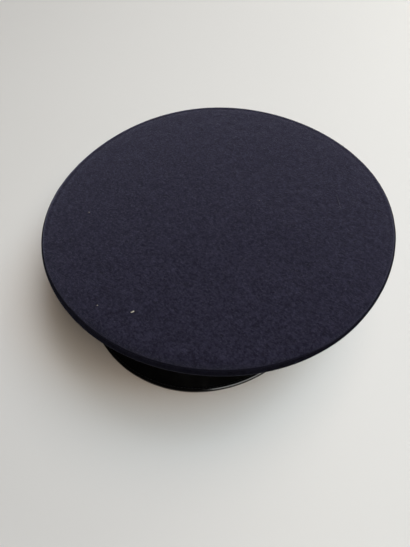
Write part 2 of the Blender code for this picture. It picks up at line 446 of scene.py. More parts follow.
class Nodes:
    """Short way to add and link the nodes of a tree.

    Inputs are given in their order, or by name with an underscore for each space. A name that
    starts with a small letter is a setting of the node.
    """

    def __init__(self, tree):
        self.tree = tree

    def plug(self, socket, value):
        """Give a socket its source or its value."""
        if isinstance(value, bpy.types.NodeSocket):
            self.tree.links.new(value, socket)
        else:
            socket.default_value = value

    def feed(self, node, *first, **named):
        """Give a node's first inputs, and others by name, their sources or values."""
        for socket, value in zip(node.inputs, first):
            self.plug(socket, value)
        for name, value in named.items():
            if name[0].isupper():
                self.plug(node.inputs[name.replace("_", " ")], value)

    def add(self, kind, *first, **named):
        """Add a node with its settings and inputs."""
        node = self.tree.nodes.new(kind)
        for name, value in named.items():
            if name[0].islower():
                setattr(node, name, value)
        self.feed(node, *first, **named)
        return node

    def place(self):
        """Output of a point's place in its object."""
        return self.add("ShaderNodeTexCoord").outputs["Object"]

    def math(self, operation, *numbers):
        """Output of one sum of numbers."""
        return self.add("ShaderNodeMath", *numbers, operation=operation).outputs[0]

    def total(self, total, *parts):
        """Output of a number plus every part's value times its weight."""
        for value, weight in parts:
            total = self.math("MULTIPLY_ADD", value, weight, total)
        return total

    def mix(self, share, first, second):
        """Output of a mix of two colours."""
        node = self.add("ShaderNodeMix", share, data_type="RGBA")
        self.plug(node.inputs[6], first)
        self.plug(node.inputs[7], second)
        return node.outputs[2]

    def noise(self, place, scale, detail, roughness=0.5, distortion=0.0):
        """Output of a noise texture, about 0.5 on average."""
        kind = {"Detail": detail, "Roughness": roughness, "Distortion": distortion}
        return self.add("ShaderNodeTexNoise", Vector=place, Scale=scale, **kind).outputs["Fac"]

    def streaks(self, place, scale, ways, **kind):
        """Strongest of some noises, each drawn out along its own way from its own start."""
        strongest = 0.0
        for start, turns in ways:
            drawn = self.add("ShaderNodeMapping", Vector=place, Location=start, Rotation=turns, Scale=scale)
            streak = self.noise(drawn.outputs["Vector"], 1.0, **kind)
            strongest = self.math("MAXIMUM", strongest, streak)
        return strongest

    def spread(self, value, low, high, to_low=0.0, to_high=1.0):
        """Output of a soft stretch of one range of numbers to another."""
        ranges = {"From_Min": low, "From_Max": high, "To_Min": to_low, "To_Max": to_high}
        stretch = self.add("ShaderNodeMapRange", value, interpolation_type="SMOOTHSTEP", **ranges)
        return stretch.outputs["Result"]

    def bump(self, height, strength, distance):
        """Normal of a relief with that height over the surface."""
        relief = self.add("ShaderNodeBump", Height=height, Strength=strength, Distance=distance)
        return relief.outputs["Normal"]


def shader_group(name, colours, numbers, results):
    """New shader node group that puts out a colour and other results, with its nodes and two ends."""
    tree = bpy.data.node_groups.new(name, "ShaderNodeTree")
    sockets = (
        ("INPUT", "NodeSocketColor", colours),
        ("INPUT", "NodeSocketFloat", numbers),
        ("OUTPUT", "NodeSocketColor", ("Colour",)),
        ("OUTPUT", "NodeSocketFloat", results),
    )
    for way, kind, labels in sockets:
        for label in labels:
            tree.interface.new_socket(label, in_out=way, socket_type=kind)
    nodes = Nodes(tree)
    return tree, nodes, nodes.add("NodeGroupInput").outputs, nodes.add("NodeGroupOutput")


def felted_wool_group():
    """Milled and brushed woollen cloth: matted hairs in all directions, cloudy nap, pressed flecks, and
    painted shade where the piece's mesh marks it.
    """
    tree, nodes, given, made = shader_group(
        "felted_wool", ("Colour", "Raised Hair", "Pressed Nap"), ("Cloudiness",), ("Height",)
    )
    place = nodes.place()

    # Hairs: noise drawn out along five directions, the strongest one on top
    ways = [
        ((0.13 * turn, 0.31 * turn, 0.0), (0.3 * turn, 0.2, radians(36 * turn + 8)))
        for turn in range(5)
    ]
    kind = {"detail": 2.0, "roughness": 0.55, "distortion": 0.35}
    hairs = nodes.spread(nodes.streaks(place, (330.0, 2100.0, 1500.0), ways, **kind), 0.58, 0.80)

    # Clouds of nap lying one way or another, tufts and single grains of it
    clouds = nodes.noise(place, 150.0, 3.0, roughness=0.62, distortion=0.4)
    tufts = nodes.noise(place, 430.0, 2.0, roughness=0.6, distortion=0.3)
    grains = nodes.noise(place, 950.0, 2.0, roughness=0.6, distortion=0.3)
    lifted = nodes.total(
        0.36,
        (nodes.math("SUBTRACT", tufts, 0.5), 2.4),
        (nodes.math("SUBTRACT", grains, 0.5), 1.8),
        (hairs, 0.35),
        (nodes.math("SUBTRACT", clouds, 0.5), given["Cloudiness"]),
    )
    body = nodes.mix(lifted, given["Colour"], given["Raised Hair"])

    # Flecks where the nap is pressed down or has come off
    flecks = nodes.spread(nodes.noise(place, 290.0, 1.0, roughness=0.4, distortion=0.8), 0.64, 0.74)
    patches = nodes.spread(nodes.noise(place, 32.0, 1.0), 0.46, 0.62)
    pressed = nodes.math("MULTIPLY", flecks, patches)

    # Painted shade along the crown's edges, as the piece's own mesh marks it: from here pressed carries it
    # as well as the flecks, so it darkens the colour towards the pressed nap colour and flattens the relief
    painted_shade = nodes.add("ShaderNodeAttribute", attribute_name="painted_shade").outputs["Fac"]
    pressed = nodes.math("MAXIMUM", pressed, painted_shade)
    nodes.feed(
        made,
        Colour=nodes.mix(pressed, body, given["Pressed Nap"]),
        Height=nodes.total(0.0, (hairs, 0.45), (tufts, 0.5), (pressed, -0.25)),
    )
    return tree


def polished_leather_group():
    """Varnished leather: a faint pebble under the gloss, dust and hairline scratches, and grey-green smears
    that are partly dust and partly painted reflections.
    """
    tree, nodes, given, made = shader_group(
        "polished_leather", ("Colour", "Dust"), ("Gloss Roughness", "Wear"), ("Roughness", "Height")
    )
    place = nodes.place()
    ways = [((0.0, 0.0, 0.0), (0.0, 0.0, radians(turn))) for turn in (12, 71, 128)]
    kind = {"detail": 1.0, "roughness": 0.4, "distortion": 0.1}
    scratches = nodes.spread(nodes.streaks(place, (28.0, 1700.0, 60.0), ways, **kind), 0.73, 0.79)
    # Smears: dust, and painted reflections of the room on the gloss, in the dust colour
    smears_and_reflections = nodes.spread(nodes.noise(place, 46.0, 3.0, roughness=0.6, distortion=0.6), 0.42, 0.72)
    grains = nodes.spread(nodes.noise(place, 1500.0, 1.0), 0.70, 0.78)
    wear_and_painted_light = nodes.math("MAXIMUM", scratches, nodes.math("MULTIPLY", smears_and_reflections, 0.5))
    wear_and_painted_light = nodes.math("MULTIPLY", wear_and_painted_light, given["Wear"])
    dust_and_reflections = nodes.math("MAXIMUM", wear_and_painted_light, nodes.math("MULTIPLY", grains, smears_and_reflections))
    dust_and_reflections = nodes.math("MULTIPLY", dust_and_reflections, 0.35)
    pebble = nodes.noise(place, 380.0, 2.0)
    nodes.feed(
        made,
        Colour=nodes.mix(dust_and_reflections, given["Colour"], given["Dust"]),
        Roughness=nodes.total(given["Gloss Roughness"], (wear_and_painted_light, 0.35)),
        Height=nodes.total(pebble, (scratches, -0.6)),
    )
    return tree


def new_material(name):
    """Empty material, its nodes helper and its Principled shader."""
    made = bpy.data.materials.new(name)
    made.use_nodes = True
    return made, Nodes(made.node_tree), made.node_tree.nodes["Principled BSDF"]


def wool_material(name, cloudiness, bump, wear_and_painted_light=1.0, nap=1.0):
    """Navy woollen cloth in the settings' colours. Its colours and sheen are scaled down by a share, which
    paints shade, and its sheen alone by nap.
    """
    cloth = bpy.context.scene.peaked_cap_cloth
    made, nodes, shader = new_material(name)
    wool = nodes.add(
        "ShaderNodeGroup",
        node_tree=bpy.data.node_groups.get("felted_wool") or felted_wool_group(),
        Colour=(*(wear_and_painted_light * share for share in cloth.colour), 1.0),
        Raised_Hair=(*(wear_and_painted_light * share for share in cloth.raised_colour), 1.0),
        Pressed_Nap=(*cloth.pressed_nap_and_shade_colour, 1.0),
        Cloudiness=cloudiness,
    ).outputs
    nodes.feed(
        shader,
        Base_Color=wool["Colour"],
        Normal=nodes.bump(wool["Height"], bump, 0.0004),
        Roughness=0.95,
        Specular_IOR_Level=0.04,
        Sheen_Weight=wear_and_painted_light * nap * cloth.sheen,
        Sheen_Roughness=0.50,
        Sheen_Tint=(*cloth.sheen_colour, 1.0),
    )
    return made


def leather_material(name, wear, bump):
    """Black varnished leather in the settings' colours."""
    peak = bpy.context.scene.peaked_cap_peak
    made, nodes, shader = new_material(name)
    leather = nodes.add(
        "ShaderNodeGroup",
        node_tree=bpy.data.node_groups.get("polished_leather") or polished_leather_group(),
        Colour=(*peak.colour, 1.0),
        Dust=(*peak.dust_and_reflection_colour, 1.0),
        Gloss_Roughness=peak.roughness,
        Wear=wear,
    ).outputs
    nodes.feed(
        shader,
        Base_Color=leather["Colour"],
        Roughness=leather["Roughness"],
        Normal=nodes.bump(leather["Height"], bump, 0.0001),
        Specular_IOR_Level=0.5,
    )
    return made


def patchy_material(name, dark, pale, grain, ends, relief=0.0, **finish):
    """Hair, thread or lint, patchy between a dark and a pale colour, with a relief if it has one."""
    made, nodes, shader = new_material(name)
    patches = nodes.noise(nodes.place(), *grain)
    if relief:
        nodes.feed(shader, Normal=nodes.bump(patches, relief, 0.0002))
    colour = nodes.mix(nodes.spread(patches, *ends), (*dark, 1.0), (*pale, 1.0))
    nodes.feed(shader, Base_Color=colour, **finish)
    return made


def floor_material(stage):
    """Pale, faintly mottled surface, which takes on the backdrop's brightness towards its rim."""
    made, nodes, shader = new_material("pale_floor")
    place = nodes.place()
    darker = (*(0.97 * share for share in stage.floor_colour), 1.0)
    distance = nodes.add("ShaderNodeVectorMath", place, operation="LENGTH").outputs["Value"]
    rim = stage.floor_width / 2
    nodes.feed(
        shader,
        Base_Color=nodes.mix(nodes.noise(place, 3.0, 3.0), darker, (*stage.floor_colour, 1.0)),
        Emission_Strength=nodes.spread(distance, GLOW_START * rim, rim, 0.0, GLOW_AT_RIM),
        Emission_Color=(*stage.backdrop_colour, 1.0),
        Roughness=0.6,
        Specular_IOR_Level=0.3,
    )
    return made


def near_bearing(bearing, middle, half_angle):
    """Share from 1 at a middle bearing to 0 at an angle to either side of it."""
    return fade_out(0.0, half_angle, bearing_apart(bearing, middle))


def edge_roll(bearing, inset):
    """How far the crown's edge rolls down, and how far in, beside the left half of the peak."""
    flat = min(max((inset - ROLL_START) / (ROLL_END - ROLL_START), 0.0), 1.0)
    share = (1.0 - flat) ** 2
    return (
        DROOP * near_bearing(bearing, *DROOP_PLACE) * share,
        TUCK * near_bearing(bearing, *TUCK_PLACE) * share,
    )


def edge_painted_shade(bearing, inset):
    """Share of painted shade along the crown's edge, strongest where it rolls down."""
    rolled = near_bearing(bearing, *DROOP_PLACE) * fade_out(*ROLL_PAINTED_SHADE_FADE, inset)
    return min(ROLL_PAINTED_SHADE * rolled + LIP_PAINTED_SHADE * fade_out(*LIP_PAINTED_SHADE_FADE, inset), 1.0)


def crown_surface(across, bearing):
    """Point of the crown's upper face at a share from its middle (0) to its seam (1)."""
    inset = read_table(CROWN_SECTION, across, 1)
    height = read_table(CROWN_SECTION, across, 2)
    flat = crown_point(bearing, inset, 0.0)

    # Beside the front left the welt shows a little; elsewhere the cloth laps over it
    open_end = WELT_OPEN / 2
    lap = smooth_step(open_end, open_end + WELT_OPEN_BLEND, bearing_apart(bearing, WELT_OPEN_AT))
    lap = (LEAST_LAP + (1.0 - LEAST_LAP) * lap) * smooth_step(LAP_START, 1.0, across)
    inset -= LAP * lap
    height += LAP_RISE * min(lap / LEAST_LAP, 1.0)

    # Slack cloth rises and dips a little between the middle and the stiffened edge
    slack = smooth_step(*SLACK_START, inset)
    height += slack * unevenness(flat, *CROWN_SLACK)
    height += slack * unevenness(flat, *CROWN_RIPPLE)

    # Handling has left shallow creases in the rear part
    creased = fade_out(*CREASES_FADE_ROUND, bearing_apart(bearing, CREASES_AT))
    creased *= fade_out(*CREASES_FADE_INWARDS, inset)
    height += slack * creased * unevenness(flat, *CROWN_CREASES)
    droop, tuck = edge_roll(bearing, inset)
    return crown_point(bearing, inset + tuck, height - droop)


def crown_sheet():
    """Crown's upper face as rings of quads, without a pole in the middle."""
    mesh = bmesh.new()
    bmesh.ops.create_grid(mesh, x_segments=2 * CROWN_RINGS, y_segments=2 * CROWN_RINGS, size=1.0)
    painted_shade = mesh.verts.layers.float.new("painted_shade")
    for vertex in mesh.verts:
        x, y = vertex.co.x, vertex.co.y
        ring = max(abs(x), abs(y))
        if ring < 0.5 / CROWN_RINGS:
            bearing = 0.0
        elif abs(x) >= abs(y):
            bearing = pi / 4 * y / x + (0.0 if x > 0 else pi)
        else:
            bearing = pi / 2 - pi / 4 * x / y + (0.0 if y > 0 else pi)
        # Painted shade along the crown's edge, kept on the mesh for the wool's colour
        vertex[painted_shade] = edge_painted_shade(bearing + pi / 2, read_table(CROWN_SECTION, ring, 1))
        vertex.co = crown_surface(ring, bearing + pi / 2)
    return mesh


def make_crown():
    """Flat oval of felted wool, rolled down to the seam at its edge."""
    cloth = bpy.context.scene.peaked_cap_cloth
    sheet = crown_sheet()
    painted_shade = sheet.verts.layers.float["painted_shade"]
    # Faces deep in the painted shade take a copy of the wool with a tenth of the sheen, which paints shade
    # too
    for face in sheet.faces:
        face.material_index = int(min(vertex[painted_shade] for vertex in face.verts) > PAINTED_SHADE_FROM)
    crown = finish_piece(
        "crown_cloth", sheet, wool_material("milled_wool", 0.9, 0.8), "navy_felt", "crown_top"
    )
    crown.data.materials.append(wool_material("shaded_edge_wool", 0.9, 0.4, nap=0.1))
    thicken(crown, cloth.thickness)


def make_welt():
    """Self-coloured welt, a strip of the cloth folded over a cord, round the crown's seam."""

    def place(around, across):
        bearing = around * 2 * pi
        turn = across * 2 * pi
        middle = crown_point(bearing, WELT_RADIUS, 0.0)
        radius = WELT_RADIUS * (1.0 + unevenness(middle, *WELT_UNEVEN))
        droop, tuck = edge_roll(bearing, WELT_RADIUS)
        inset = WELT_RADIUS - radius * cos(turn) + tuck
        return crown_point(bearing, inset, radius * sin(turn) - droop)

    mesh = bent_tube(WELT_COLUMNS, WELT_SIDES, place)
    # Painted shade: the welt's cloth and raised hair colours and its sheen are cut to 0.22, for the shade
    # it sits in under the crown's edge
    look = wool_material("navy_welt", 0.5, 0.6, wear_and_painted_light=0.22)
    finish_piece("crown_welt", mesh, look, "navy_felt", "crown_piping")


def panel_surface(middle, around, across):
    """Point of a side panel's outer face, from the band (0) to the welt (1)."""
    half = radians(45) - SEAM_GAP / BAND_HALF_WIDTH / 2
    bearing = radians(middle) + (2 * around - 1) * half
    foot = band_point(bearing, 0.0, BAND_HEIGHT + SEAM_GAP / 2)
    droop, tuck = edge_roll(bearing, PANEL_TOP_INSET)
    top = crown_point(bearing, PANEL_TOP_INSET + tuck, -WELT_RADIUS - SEAM_GAP / 2 - droop)
    low = foot + Vector((0.0, 0.0, PANEL_FOOT))
    high = top - Vector((0.0, 0.0, PANEL_TURN_UP))
    out = high - low
    flat = hypot(out.x, out.y)
    down = Vector((out.x / flat * out.z, out.y / flat * out.z, -flat)).normalized()
    row = across * PANEL_ROWS
    if row < 0.5:
        return foot
    if row > PANEL_ROWS - 0.5:
        return top
    share = (row - 1) / (PANEL_ROWS - 2)
    spot = low.lerp(high, share) + down * PANEL_FULLNESS * 4 * share * (1 - share)

    # Short tucks fan out from the band, where the cloth is eased in
    tucks = unevenness((bearing, TUCK_STRETCH * share, 0.0), *PANEL_TUCKS)
    slack = unevenness(spot, *PANEL_SLACK) * share * (1 - share)
    spot += down * (tucks * fade_out(0.0, 1.0, share) + slack)

    # The panels' edges dip into the seams between them
    return spot - down * PANEL_SEAM_DIP * fade_out(*PANEL_SEAM_FADE, min(around, 1.0 - around))


def panel_sheet(middle):
    """Outer face of one side panel."""
    return bent_sheet(
        PANEL_COLUMNS, PANEL_ROWS, lambda around, across: panel_surface(middle, around, across)
    )


def make_side_panels():
    """Four panels of cloth, flared from the band to the crown's welt."""
    cloth = bpy.context.scene.peaked_cap_cloth
    look = wool_material("navy_side_cloth", 0.7, 0.5)
    for name, node, middle in PANELS:
        sheet = panel_sheet(middle)
        sewn = sum(face.calc_area() for face in sheet.faces)
        across_top = panel_surface(middle, 1.0, 1.0) - panel_surface(middle, 0.0, 1.0)
        foot = (panel_surface(middle, 1.0, 0.0) + panel_surface(middle, 0.0, 0.0)) / 2
        deep = panel_surface(middle, 0.5, 1.0) - foot
        panel = finish_piece(name, sheet, look, "navy_cloth", node)
        subdivide(panel)
        thicken(panel, cloth.thickness - PANEL_THINNER)


def band_section():
    """Points of the band's section, from its lower outer edge round over its top."""
    inner = BAND_ROUND_OFF - BAND_THICKNESS
    top = BAND_HEIGHT - BAND_ROUND_OFF
    lower_outer, upper_outer = (-BAND_ROUND_OFF, BAND_ROUND_OFF), (-BAND_ROUND_OFF, top)
    upper_inner, lower_inner = (inner, top), (inner, BAND_ROUND_OFF)
    shares = (0.2, 0.4, 0.6, 0.8)

    def corner(middle, start):
        turns = [radians(start + step) for step in (0, 30, 60, 90)]
        out, up = middle
        return [(out + BAND_ROUND_OFF * cos(turn), up + BAND_ROUND_OFF * sin(turn)) for turn in turns]

    return [
        *corner(lower_outer, -90),
        *((BAND_BELLY * 4 * share * (1 - share), share * BAND_HEIGHT) for share in shares),
        *corner(upper_outer, 0),
        *corner(upper_inner, 90),
        *((-BAND_THICKNESS, share * BAND_HEIGHT) for share in reversed(shares)),
        *corner(lower_inner, 180),
    ]


def make_band():
    """Upright band round the head, covered with the cloth and open above and below."""
    section = band_section()
    to_cap = CAP_AT_REST.inverted()

    def place(around, across):
        bearing = around * 2 * pi
        outwards, height = section_point(section, across)
        spot = band_point(bearing, outwards, height)
        outside = smooth_step(-BAND_THICKNESS / 2, 0.0, outwards)
        spot = band_point(bearing, outwards + outside * unevenness(spot, *BAND_UNEVEN), height)

        # Where the band lies on the surface, its edge is pressed flat
        world = CAP_AT_REST @ spot
        if world.z < 0.0:
            world.z = 0.0
            spot = to_cap @ world
        if outside > 0.5:
            join = near_bearing(bearing, pi, BAND_JOIN_HALF_ANGLE)
            spot = spot + Vector((0.0, -BAND_JOIN * join, 0.0))
        return spot

    mesh = bent_tube(BAND_COLUMNS, len(section), place)
    look = wool_material("navy_band_cloth", 0.6, 0.5)
    band = finish_piece("band_cloth", mesh, look, "navy_cloth", "cap_band")
    subdivide(band)


def make_peak():
    """Glossy peak, with its root tucked under the band's lower edge."""
    rows = PEAK_ROWS + 1

    def place(around, across):
        along = 2 * around - 1
        row = rows - round(across * rows)
        if row == 0:
            return band_point(peak_bearing(along), SEAM_GAP - BAND_THICKNESS, -SEAM_GAP)
        return peak_point(along, (row - 1) / PEAK_ROWS)

    look = leather_material("polished_peak", 0.35, 0.05)
    sheet = bent_sheet(PEAK_COLUMNS, rows, place)
    peak = finish_piece("peak_leather", sheet, look, "black_gloss", "peak")
    thicken(peak, PEAK_THICKNESS)
    subdivide(peak)


def binding_section():
    """Points of the binding's section, as ways out from the peak's edge and up from its middle."""
    inner = PEAK_THICKNESS / 2 + BINDING_FACE_GAP
    outer = PEAK_THICKNESS / 2 + BINDING_GAP + BINDING_WALL
    nose = BINDING_GAP + BINDING_WALL
    hem = -BINDING_DEPTH
    hem_points = [(hem, inner), (hem + HEM_SLOPE, outer - HEM_DROP), (hem + HEM_LENGTH, outer)]
    points = [(out, -up) for out, up in hem_points]
    for step in range(9):
        turn = radians(-90 + 22.5 * step)
        points.append((BINDING_FOLD + (nose - BINDING_FOLD) * cos(turn), outer * sin(turn)))
    points += reversed(hem_points)
    points += [(BINDING_FOLD, inner), (BINDING_RIM_GAP, 0.7 * inner)]
    points += [(BINDING_RIM_GAP, -0.7 * inner), (BINDING_FOLD, -inner)]
    return points


def make_peak_binding():
    """Glossy binding folded over the peak's rim from corner to corner."""
    section = binding_section()

    def place(around, across):
        middle, line, out, square = rim_frame(BINDING_END * (2 * around - 1))
        way_out, way_up = section_point(section, across)
        return middle + out * way_out + square * way_up

    mesh = bent_tube(BINDING_COLUMNS, len(section), place)
    look = leather_material("polished_binding", 0.25, 0.03)
    finish_piece("peak_edge_binding", mesh, look, "black_gloss", "peak_binding")


def make_binding_stitches():
    """Row of stitches along the binding's hem, above and below the peak."""
    peak = bpy.context.scene.peaked_cap_peak
    mesh = bmesh.new()
    row = STITCH_INSET - BINDING_DEPTH
    outer = PEAK_THICKNESS / 2 + BINDING_GAP + BINDING_WALL
    sized = Matrix.Diagonal((*STITCH_HALF_SIZE, peak.stitch_length / 2, 1.0))
    travelled = 0.0
    last = rim_frame(-BINDING_END)[0]
    for k in range(1, STITCH_STEPS):
        middle, line, out, square = rim_frame(BINDING_END * (2 * k / STITCH_STEPS - 1))
        travelled += (middle - last).length
        last = middle
        if travelled < peak.stitch_pitch:
            continue
        travelled -= peak.stitch_pitch
        turned = Matrix((square, out, line)).transposed().to_4x4()
        for side in (1, -1):
            spot = Matrix.Translation(middle + out * row + square * side * outer)
            bmesh.ops.create_uvsphere(
                mesh, u_segments=8, v_segments=6, radius=1.0, matrix=spot @ turned @ sized
            )
    finish = {"Roughness": 0.5, "Specular_IOR_Level": 0.3}
    thread = patchy_material("black_thread", *THREAD, (2600.0, 1.0), (0.3, 0.7), 0.6, **finish)
    finish_piece("binding_stitches", mesh, thread, "black_gloss")


def nap_strand():
    """One wool hair as a narrow tapered strip that rises in a low arch."""
    cloth = bpy.context.scene.peaked_cap_cloth
    mesh = bmesh.new()
    bmesh.ops.create_grid(mesh, x_segments=3, y_segments=1, size=0.5)
    for vertex in mesh.verts:
        along = vertex.co.x + 0.5
        width = cloth.strand_width * (1.0 - STRAND_TAPER * along)
        bow = STRAND_BOW * cloth.strand_length * sin(pi * along)
        vertex.co = (along * cloth.strand_length, vertex.co.y * width + bow, STRAND_ARCH * bow)
    return add_object("nap_strand", mesh_data("nap_strand", mesh))


def nap_growth(strand, density, seed):
    """Node tree that scatters copies of the strand over a surface and makes them real."""
    tree = bpy.data.node_groups.new("nap_growth", "GeometryNodeTree")
    for way in ("INPUT", "OUTPUT"):
        tree.interface.new_socket("Geometry", in_out=way, socket_type="NodeSocketGeometry")
    nodes = Nodes(tree)

    def random_vector(limits, seed):
        low, high = limits
        kind = {"data_type": "FLOAT_VECTOR", "Min": low, "Max": high, "Seed": seed}
        return nodes.add("FunctionNodeRandomValue", **kind).outputs["Value"]

    skin = nodes.add("NodeGroupInput").outputs["Geometry"]
    scatter = nodes.add(
        "GeometryNodeDistributePointsOnFaces", Mesh=skin, Density=density, Seed=seed
    ).outputs
    turn = nodes.add("FunctionNodeEulerToRotation", Euler=random_vector(STRAND_TURN, seed + 1))
    laid = nodes.add(
        "FunctionNodeRotateRotation",
        rotation_space="LOCAL",
        Rotation=scatter["Rotation"],
        Rotate_By=turn.outputs["Rotation"],
    )
    grown = nodes.add(
        "GeometryNodeInstanceOnPoints",
        Points=scatter["Points"],
        Instance=nodes.add("GeometryNodeObjectInfo", Object=strand).outputs["Geometry"],
        Rotation=laid.outputs["Rotation"],
        Scale=random_vector(STRAND_SIZE, seed + 2),
    )
    real = nodes.add("GeometryNodeRealizeInstances", Geometry=grown.outputs["Instances"])
    nodes.add("NodeGroupOutput", Geometry=real.outputs["Geometry"])
    return tree


def grow_nap(name, sheets, density, seed, look, slot):
    """Loose hairs on the outer faces of some sheets, as one piece of joined mesh."""
    skin = bmesh.new()
    for sheet in sheets:
        take_in(skin, mesh_data("nap_skin_part", sheet))
    bmesh.ops.transform(skin, matrix=CAP_AT_REST, verts=skin.verts[:])
    carrier = add_object("nap_skin", mesh_data("nap_skin", skin))
    strand = nap_strand()
    carrier.modifiers.new("Nap", "NODES").node_group = nap_growth(strand, density, seed)
    grown = carrier.evaluated_get(bpy.context.evaluated_depsgraph_get())
    mesh = bmesh.new()
    take_in(mesh, bpy.data.meshes.new_from_object(grown))
    bpy.data.objects.remove(carrier)
    bpy.data.objects.remove(strand)
    bmesh.ops.transform(mesh, matrix=CAP_AT_REST.inverted(), verts=mesh.verts[:])
    finish_piece(name, mesh, look, slot)


def make_nap():
    """Loose hairs that stand up from the crown and from the side panels."""
    cloth = bpy.context.scene.peaked_cap_cloth
    density = cloth.strand_density
    colours = cloth.colour, cloth.raised_colour
    finish = {"Roughness": 0.85, "Specular_IOR_Level": 0.2}
    look = patchy_material("wool_strand", *colours, (900.0, 1.0), (0.35, 0.75), **finish)
    grow_nap("crown_nap", [crown_sheet()], density, 5, look, "navy_felt")
    panels = [panel_sheet(middle) for name, node, middle in PANELS]
    grow_nap("side_nap", panels, SIDE_NAP_SHARE * density, 8, look, "navy_cloth")


def on_crown(bearing, share, turn):
    """Frame on the crown's upper face, at a bearing and a share of its radius, turned in degrees."""
    inset = (1.0 - share) * CROWN_HALF_WIDTH
    rings = [k / 400 for k in range(401)]
    across = min(rings, key=lambda ring: abs(read_table(CROWN_SECTION, ring, 1) - inset))
    spot = Matrix.Translation(crown_surface(across, radians(bearing)))
    return spot @ CROWN_FRAME.to_3x3().to_4x4() @ Matrix.Rotation(radians(turn), 4, "Z")


def lint_fibre(bearing, share, length, turn, curl):
    """One curled fibre of lint that lies on the crown."""
    base = on_crown(bearing, share, turn)
    reach = length / radians(curl)

    def place(around, across):
        sweep = radians(curl) * (around - 0.5)
        middle = Vector((reach * sin(sweep), reach * (1 - cos(sweep)), FIBRE_LIFT))
        side = Vector((-sin(sweep), cos(sweep), 0.0))
        ring = across * 2 * pi
        edge = side * cos(ring) + Vector((0.0, 0.0, sin(ring)))
        return base @ (middle + FIBRE_RADIUS * edge)

    return bent_tube(FIBRE_COLUMNS, FIBRE_SIDES, place)


def make_lint():
    """Specks and hairs of lint that the cloth has picked up."""
    specks = bmesh.new()
    for bearing, share, length, width, turn in LINT_SPECKS:
        lift = Matrix.Translation((0.0, 0.0, width / 4))
        sized = Matrix.Diagonal((length / 2, width / 2, width / 3, 1.0))
        place = on_crown(bearing, share, turn) @ lift @ sized
        speck = bmesh.ops.create_icosphere(specks, subdivisions=2, radius=1.0, matrix=place)
        for vertex in speck["verts"]:
            rough = (SPECK_GRAIN, SPECK_ROUGHNESS * width)
            vertex.co += Vector([unevenness(vertex.co, *rough, seed) for seed in (21.0, 22.0, 23.0)])
    cream = patchy_material("cream_lint", *CREAM_LINT, *LINT_PATCHES, Roughness=0.9)
    finish_piece("lint_specks", specks, cream, "navy_felt")

    grey = patchy_material("grey_fibre", *GREY_LINT, *LINT_PATCHES, Roughness=0.9)
    for k, fibre in enumerate(LINT_FIBRES):
        finish_piece(f"lint_fibre_{k + 1}", lint_fibre(*fibre), grey, "navy_felt")


def make_camera(stage):
    """Camera at the photograph's angle: turned to the cap's front left and tipped well down."""
    data = bpy.data.cameras.new("photo_camera")
    data.sensor_width = 36.0
    data.lens = stage.camera_lens
    data.clip_start = 0.01
    camera = add_object("photo_camera", data)
    heading = Matrix.Rotation(stage.camera_heading, 4, "Z")
    tip = Matrix.Rotation(pi / 2 - stage.camera_pitch, 4, "X")
    roll = Matrix.Rotation(stage.camera_roll, 4, "Z")
    camera.matrix_world = Matrix.Translation(stage.camera_place) @ heading @ tip @ roll
    bpy.context.scene.camera = camera


def make_lights(stage):
    """Soft square lights, aimed at the crown."""
    for name, turn, height, share, colour, on_cloth, on_gloss in LIGHTS:
        data = bpy.data.lights.new(name, "AREA")
        data.shape = "SQUARE"
        data.size = stage.light_size
        data.energy = share * stage.light_power
        data.color = colour
        light = add_object(name, data)
        light.visible_camera = False
        light.visible_diffuse = on_cloth
        light.visible_glossy = on_gloss
        way = stage.camera_heading + radians(turn)
        flat = stage.light_distance * cos(radians(height))
        up = stage.light_distance * sin(radians(height))
        place = Vector((flat * cos(way), flat * sin(way), up))
        aim = (Vector((0.0, 0.0, CROWN_HEIGHT)) - place).to_track_quat("-Z", "Y")
        light.matrix_world = Matrix.Translation(place) @ aim.to_matrix().to_4x4()


def make_world(stage):
    """Dim light from all round, a darker room in the gloss and a plain backdrop."""
    world = bpy.data.worlds.new("soft_studio")
    world.use_nodes = True
    nodes = Nodes(world.node_tree)
    room = world.node_tree.nodes["Background"]
    nodes.feed(room, ROOM_COLOUR, stage.room_light)
    gloss_room = nodes.add("ShaderNodeBackground", GLOSS_ROOM_COLOUR, GLOSS_ROOM_STRENGTH)
    backdrop = nodes.add("ShaderNodeBackground", (*stage.backdrop_colour, 1.0))
    ray = nodes.add("ShaderNodeLightPath").outputs
    shader = room.outputs[0]
    for share, other in ((ray["Is Glossy Ray"], gloss_room), (ray["Is Camera Ray"], backdrop)):
        shader = nodes.add("ShaderNodeMixShader", share, shader, other.outputs[0]).outputs[0]
    nodes.feed(world.node_tree.nodes["World Output"], Surface=shader)
    bpy.context.scene.world = world


def make_stage():
    """Round pale floor, soft lights, the world round them and the camera."""
    stage = bpy.context.scene.peaked_cap_stage
    mesh = bmesh.new()
    bmesh.ops.create_circle(mesh, cap_ends=True, segments=FLOOR_SEGMENTS, radius=stage.floor_width / 2)
    floor = add_object("floor", mesh_data("floor", mesh))
    floor.data.materials.append(floor_material(stage))
    make_lights(stage)
    make_world(stage)
    bpy.context.scene.view_settings.view_transform = "Standard"
    make_camera(stage)


def swatch(name, description, default):
    """Setting for a colour."""
    return FloatVectorProperty(
        name=name, description=description, default=default, subtype="COLOR", size=3, min=0.0, max=1.0
    )


def number(name, description, default, **kind):
    """Setting for a number, with its unit or subtype."""
    return FloatProperty(name=name, description=description, default=default, **kind)


LENGTH = {"unit": "LENGTH", "min": 0.0}
ANGLE = {"subtype": "ANGLE"}


